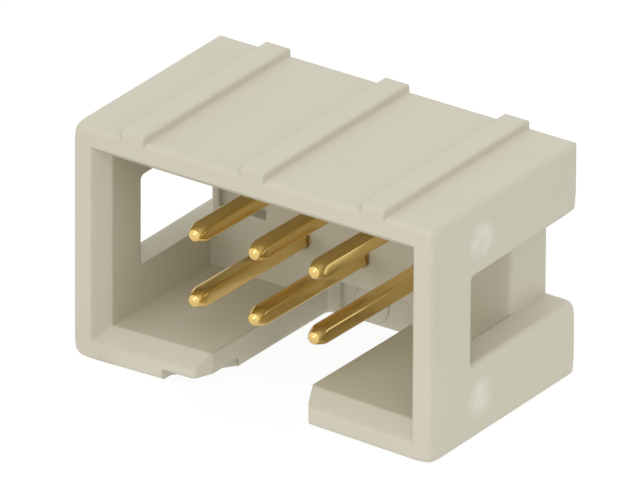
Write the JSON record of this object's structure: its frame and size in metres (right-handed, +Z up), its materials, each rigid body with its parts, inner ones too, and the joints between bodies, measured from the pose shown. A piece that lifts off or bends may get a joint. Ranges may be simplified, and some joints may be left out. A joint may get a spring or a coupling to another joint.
{
  "type": "shrouded box header",
  "caption": "Straight through-hole box header: a moulded shroud with a key slot, end notches and ribs around two short rows of gold-plated square posts.",
  "frame": {"origin": "on the resting plane, under the middle of the whole part including the solder tails", "axes": "+Z up from the keyed long wall it lies on to the ribbed wall, +X along the rows to the end wall with ejector marks, +Y from the mouth to the solder tails"},
  "size_m": [0.0152, 0.012, 0.0093],
  "materials": {
    "moulding": "light warm grey glass-filled polyester, fine matt mould surface with soft moulded edges",
    "contact": "smooth gold plating over a drawn copper-alloy wire"
  },
  "bodies": {
    "root": {"housing": "moulding", "pin_1": "contact", "pin_2": "contact", "pin_3": "contact", "pin_4": "contact", "pin_5": "contact", "pin_6": "contact"}
  },
  "joints": []
}
